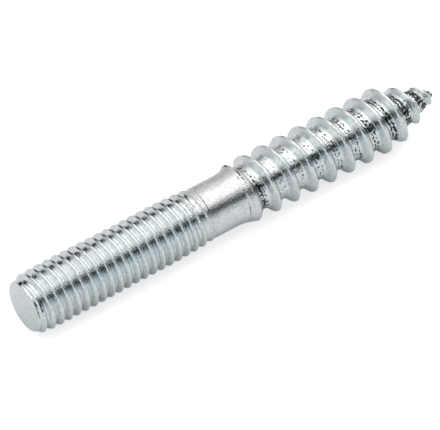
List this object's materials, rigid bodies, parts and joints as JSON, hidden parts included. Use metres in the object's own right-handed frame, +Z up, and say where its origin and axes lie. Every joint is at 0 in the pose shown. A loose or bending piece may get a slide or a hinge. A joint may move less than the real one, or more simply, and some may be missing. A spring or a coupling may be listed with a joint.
{
  "type": "hanger bolt",
  "caption": "Headless steel stud with a machine thread on one end, a plain shank in the middle and a coarse wood-screw thread with a gimlet point on the other end.",
  "frame": {"origin": "on the surface the bolt lies on, under the middle of its length", "axes": "+X along the bolt from the machine-thread end to the wood-screw point, +Z up, the bolt lying on its side"},
  "size_m": [0.0616, 0.0084, 0.0083],
  "materials": {
    "zinc_plated_steel": "bright zinc plating, clear-blue passivated, semi-gloss with fine rolling marks and small pits in the wood thread"
  },
  "bodies": {
    "root": {"hanger_bolt": "zinc_plated_steel"}
  },
  "joints": []
}
